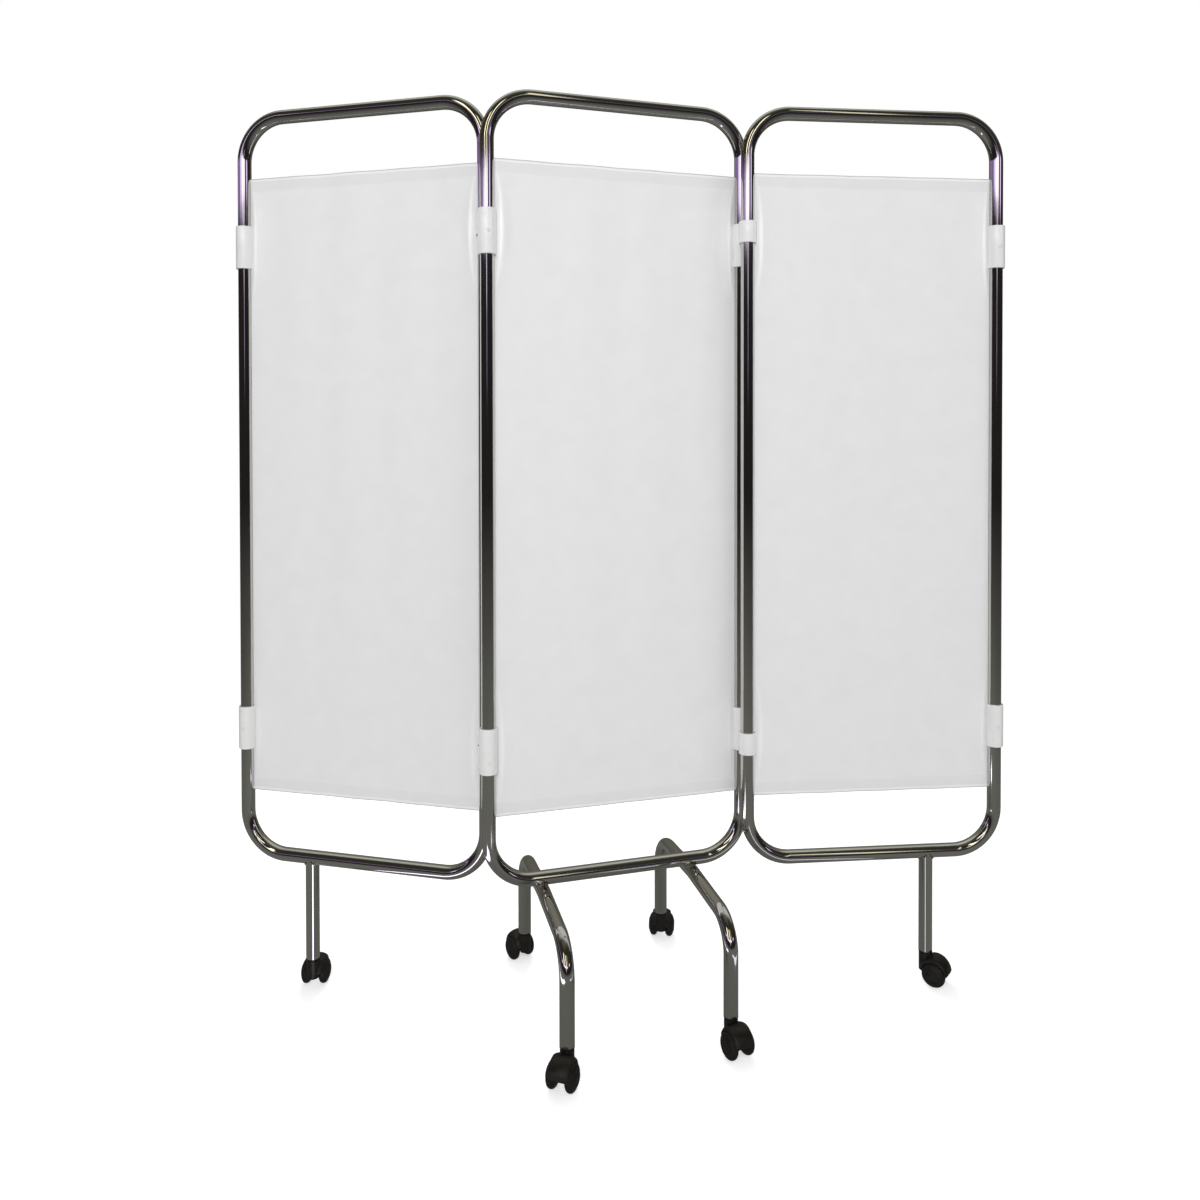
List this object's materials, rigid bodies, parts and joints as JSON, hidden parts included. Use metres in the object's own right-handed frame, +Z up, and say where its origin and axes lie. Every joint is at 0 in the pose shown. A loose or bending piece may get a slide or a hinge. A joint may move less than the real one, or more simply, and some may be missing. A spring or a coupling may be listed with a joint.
{
  "type": "folding ward privacy screen",
  "caption": "Free-standing folding screen: chromed tube frames with white sheets, hinged by moulded clips and rolling on twin-wheel castors.",
  "frame": {"origin": "on the floor, under the middle of the whole screen's footprint as it stands partly folded", "axes": "+Z up; the middle panel stands along X and its front faces -Y; the left panel is towards -X"},
  "size_m": [1.4036, 0.5034, 1.6442],
  "materials": {
    "chrome": "bright chrome plate on steel tube",
    "vinyl": "soft white vinyl sheet, slightly glossy",
    "clip_plastic": "glossy white moulded plastic",
    "hood_plastic": "satin black moulded plastic",
    "plug_plastic": "satin black moulded plastic",
    "wheel_plastic": "hard black wheel plastic",
    "steel": "bright zinc-plated steel"
  },
  "bodies": {
    "middle_panel": {"front_left_castor_insert": "plug_plastic", "front_right_castor_insert": "plug_plastic", "left_arch_leg": "chrome", "left_bottom_hinge_clip": "clip_plastic", "left_top_hinge_clip": "clip_plastic", "middle_frame": "chrome", "middle_sheet": "vinyl", "rear_left_castor_insert": "plug_plastic", "rear_right_castor_insert": "plug_plastic", "right_arch_leg": "chrome", "right_bottom_hinge_clip": "clip_plastic", "right_top_hinge_clip": "clip_plastic"},
    "left_panel": {"left_bottom_outer_clip": "clip_plastic", "left_castor_insert": "plug_plastic", "left_frame": "chrome", "left_leg": "chrome", "left_sheet": "vinyl", "left_top_outer_clip": "clip_plastic"},
    "right_panel": {"right_bottom_outer_clip": "clip_plastic", "right_castor_insert": "plug_plastic", "right_frame": "chrome", "right_leg": "chrome", "right_sheet": "vinyl", "right_top_outer_clip": "clip_plastic"},
    "left_castor": {"left_castor_axle": "steel", "left_castor_hood": "hood_plastic", "left_castor_pintle": "steel"},
    "left_wheel_a": {"left_castor_wheel_a": "wheel_plastic"},
    "left_wheel_b": {"left_castor_wheel_b": "wheel_plastic"},
    "right_castor": {"right_castor_axle": "steel", "right_castor_hood": "hood_plastic", "right_castor_pintle": "steel"},
    "right_wheel_a": {"right_castor_wheel_a": "wheel_plastic"},
    "right_wheel_b": {"right_castor_wheel_b": "wheel_plastic"},
    "rear_left_castor": {"rear_left_castor_axle": "steel", "rear_left_castor_hood": "hood_plastic", "rear_left_castor_pintle": "steel"},
    "rear_left_wheel_a": {"rear_left_castor_wheel_a": "wheel_plastic"},
    "rear_left_wheel_b": {"rear_left_castor_wheel_b": "wheel_plastic"},
    "rear_right_castor": {"rear_right_castor_axle": "steel", "rear_right_castor_hood": "hood_plastic", "rear_right_castor_pintle": "steel"},
    "rear_right_wheel_a": {"rear_right_castor_wheel_a": "wheel_plastic"},
    "rear_right_wheel_b": {"rear_right_castor_wheel_b": "wheel_plastic"},
    "front_left_castor": {"front_left_castor_axle": "steel", "front_left_castor_hood": "hood_plastic", "front_left_castor_pintle": "steel"},
    "front_left_wheel_a": {"front_left_castor_wheel_a": "wheel_plastic"},
    "front_left_wheel_b": {"front_left_castor_wheel_b": "wheel_plastic"},
    "front_right_castor": {"front_right_castor_axle": "steel", "front_right_castor_hood": "hood_plastic", "front_right_castor_pintle": "steel"},
    "front_right_wheel_a": {"front_right_castor_wheel_a": "wheel_plastic"},
    "front_right_wheel_b": {"front_right_castor_wheel_b": "wheel_plastic"}
  },
  "joints": [
    {"name": "left_panel_fold", "type": "hinge", "parent": "middle_panel", "child": "left_panel", "pos_m": [-0.26618, 0.00302, 0.246], "axis": [0, 0, -1], "range_deg": [-29, 149]},
    {"name": "right_panel_fold", "type": "hinge", "parent": "middle_panel", "child": "right_panel", "pos_m": [0.21382, -0.05698, 0.246], "axis": [0, 0, -1], "range_deg": [-10.5, 167.5]},
    {"name": "left_castor_swivel", "type": "hinge", "parent": "left_panel", "child": "left_castor", "pos_m": [-0.56792, 0.17028, 0.02117], "axis": [0, 0, 1], "continuous": true},
    {"name": "left_wheel_a_spin", "type": "hinge", "parent": "left_castor", "child": "left_wheel_a", "pos_m": [-0.56287, 0.18911, 0.02117], "axis": [-0.9659, 0.2588, 0], "continuous": true},
    {"name": "left_wheel_b_spin", "type": "hinge", "parent": "left_castor", "child": "left_wheel_b", "pos_m": [-0.56287, 0.18911, 0.02117], "axis": [-0.9659, 0.2588, 0], "continuous": true},
    {"name": "right_castor_swivel", "type": "hinge", "parent": "right_panel", "child": "right_castor", "pos_m": [0.55305, -0.11986, 0.02117], "axis": [0, 0, 1], "continuous": true},
    {"name": "right_wheel_a_spin", "type": "hinge", "parent": "right_castor", "child": "right_wheel_a", "pos_m": [0.56558, -0.13479, 0.02117], "axis": [0.766, 0.6428, 0], "continuous": true},
    {"name": "right_wheel_b_spin", "type": "hinge", "parent": "right_castor", "child": "right_wheel_b", "pos_m": [0.56558, -0.13479, 0.02117], "axis": [0.766, 0.6428, 0], "continuous": true},
    {"name": "rear_left_castor_swivel", "type": "hinge", "parent": "middle_panel", "child": "rear_left_castor", "pos_m": [-0.16818, 0.15102, 0.02117], "axis": [0, 0, 1], "continuous": true},
    {"name": "rear_left_wheel_a_spin", "type": "hinge", "parent": "rear_left_castor", "child": "rear_left_wheel_a", "pos_m": [-0.17485, 0.16934, 0.02117], "axis": [-0.9397, -0.342, 0], "continuous": true},
    {"name": "rear_left_wheel_b_spin", "type": "hinge", "parent": "rear_left_castor", "child": "rear_left_wheel_b", "pos_m": [-0.17485, 0.16934, 0.02117], "axis": [-0.9397, -0.342, 0], "continuous": true},
    {"name": "rear_right_castor_swivel", "type": "hinge", "parent": "middle_panel", "child": "rear_right_castor", "pos_m": [0.11582, 0.15102, 0.02117], "axis": [0, 0, 1], "continuous": true},
    {"name": "rear_right_wheel_a_spin", "type": "hinge", "parent": "rear_right_castor", "child": "rear_right_wheel_a", "pos_m": [0.12406, 0.16869, 0.02117], "axis": [-0.9063, 0.4226, 0], "continuous": true},
    {"name": "rear_right_wheel_b_spin", "type": "hinge", "parent": "rear_right_castor", "child": "rear_right_wheel_b", "pos_m": [0.12406, 0.16869, 0.02117], "axis": [-0.9063, 0.4226, 0], "continuous": true},
    {"name": "front_left_castor_swivel", "type": "hinge", "parent": "middle_panel", "child": "front_left_castor", "pos_m": [-0.16818, -0.20498, 0.02117], "axis": [0, 0, 1], "continuous": true},
    {"name": "front_left_wheel_a_spin", "type": "hinge", "parent": "front_left_castor", "child": "front_left_wheel_a", "pos_m": [-0.17936, -0.22096, 0.02117], "axis": [0.8192, -0.5736, 0], "continuous": true},
    {"name": "front_left_wheel_b_spin", "type": "hinge", "parent": "front_left_castor", "child": "front_left_wheel_b", "pos_m": [-0.17936, -0.22096, 0.02117], "axis": [0.8192, -0.5736, 0], "continuous": true},
    {"name": "front_right_castor_swivel", "type": "hinge", "parent": "middle_panel", "child": "front_right_castor", "pos_m": [0.11582, -0.20498, 0.02117], "axis": [0, 0, 1], "continuous": true},
    {"name": "front_right_wheel_a_spin", "type": "hinge", "parent": "front_right_castor", "child": "front_right_wheel_a", "pos_m": [0.11921, -0.22419, 0.02117], "axis": [0.9848, 0.1736, 0], "continuous": true},
    {"name": "front_right_wheel_b_spin", "type": "hinge", "parent": "front_right_castor", "child": "front_right_wheel_b", "pos_m": [0.11921, -0.22419, 0.02117], "axis": [0.9848, 0.1736, 0], "continuous": true}
  ]
}
